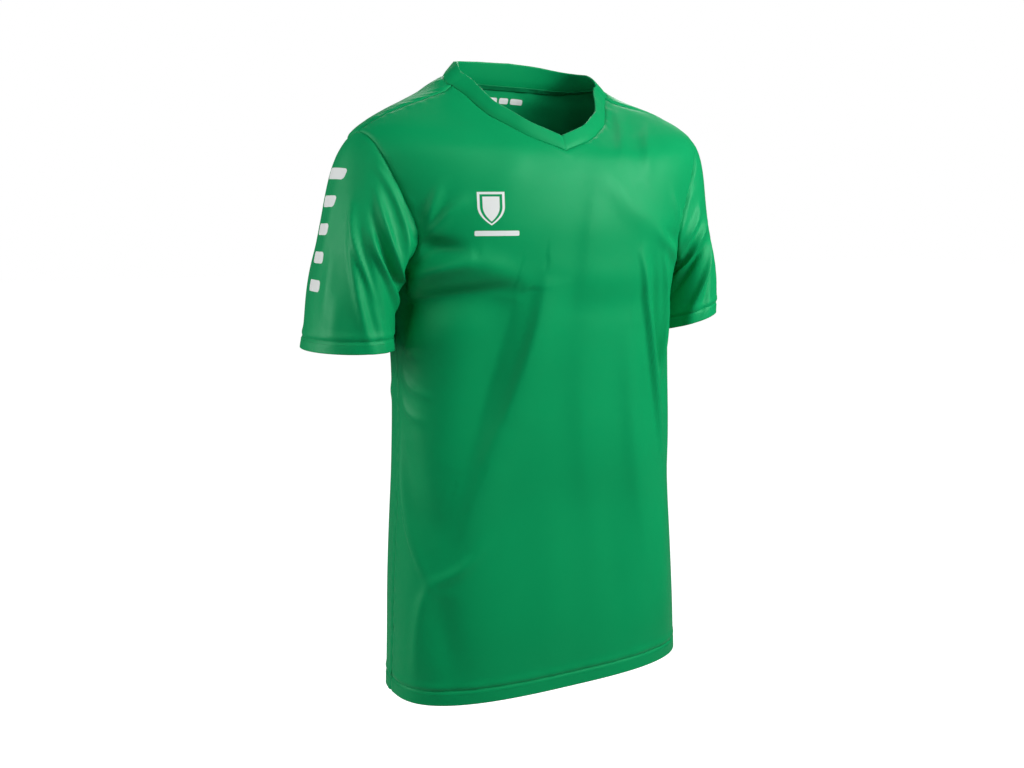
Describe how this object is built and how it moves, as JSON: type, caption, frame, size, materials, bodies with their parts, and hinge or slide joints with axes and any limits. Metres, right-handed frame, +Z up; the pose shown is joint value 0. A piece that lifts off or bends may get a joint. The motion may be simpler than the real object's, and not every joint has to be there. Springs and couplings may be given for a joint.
{
  "type": "football jersey",
  "caption": "Short-sleeved football jersey in green knit with a V-neck collar band, in its hollow worn shape with no wearer.",
  "frame": {"origin": "midway between the two high shoulder points, where the neck seam meets the shoulder seams and the wearer's shoulders carry the jersey", "axes": "+Z up from hem to neck, -Y towards the front of the jersey, -X towards the wearer's right sleeve"},
  "size_m": [0.5382, 0.2096, 0.7355],
  "materials": {
    "front_knit": "satin",
    "back_knit": "satin",
    "sleeve_knit": "satin",
    "collar_knit": "satin"
  },
  "bodies": {
    "root": {"front_panel": "front_knit", "back_panel": "back_knit", "sleeve_right": "sleeve_knit", "sleeve_left": "sleeve_knit", "collar_band": "collar_knit"}
  },
  "joints": []
}
